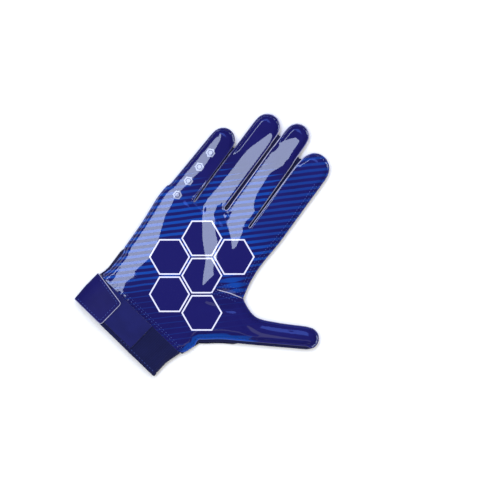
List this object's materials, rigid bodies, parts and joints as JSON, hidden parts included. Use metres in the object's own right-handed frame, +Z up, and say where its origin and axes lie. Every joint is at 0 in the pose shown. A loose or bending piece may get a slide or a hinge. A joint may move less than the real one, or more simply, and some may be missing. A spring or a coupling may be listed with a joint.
{
  "type": "football receiver glove",
  "caption": "Right-hand football receiver glove lying flat palm up: glossy grip palm and fingers, stretch back and gussets, elastic cuff with a closure tab.",
  "frame": {"origin": "centre of the bounding box in plan, on the surface that the back of the glove lies on", "axes": "+Z up out of the palm, +Y from the wrist to the fingertips, +X towards the thumb's side"},
  "size_m": [0.1884, 0.2468, 0.0178],
  "materials": {
    "palm_coating": "glossy coated synthetic, navy with bright blue stripes",
    "stretch_fabric": "matt navy stretch fabric",
    "knit_elastic": "matt navy ribbed elastic",
    "woven_patch": "navy woven satin, bare"
  },
  "bodies": {
    "root": {"palm_panel": "palm_coating", "back_panel": "stretch_fabric", "gusset_little_side": "stretch_fabric", "fourchette_little_ring": "stretch_fabric", "fourchette_ring_middle": "stretch_fabric", "fourchette_middle_index": "stretch_fabric", "gusset_index_thumb": "stretch_fabric", "gusset_thumb_side": "stretch_fabric", "cuff": "knit_elastic", "landing_patch": "woven_patch", "closure_tab": "palm_coating"}
  },
  "joints": []
}
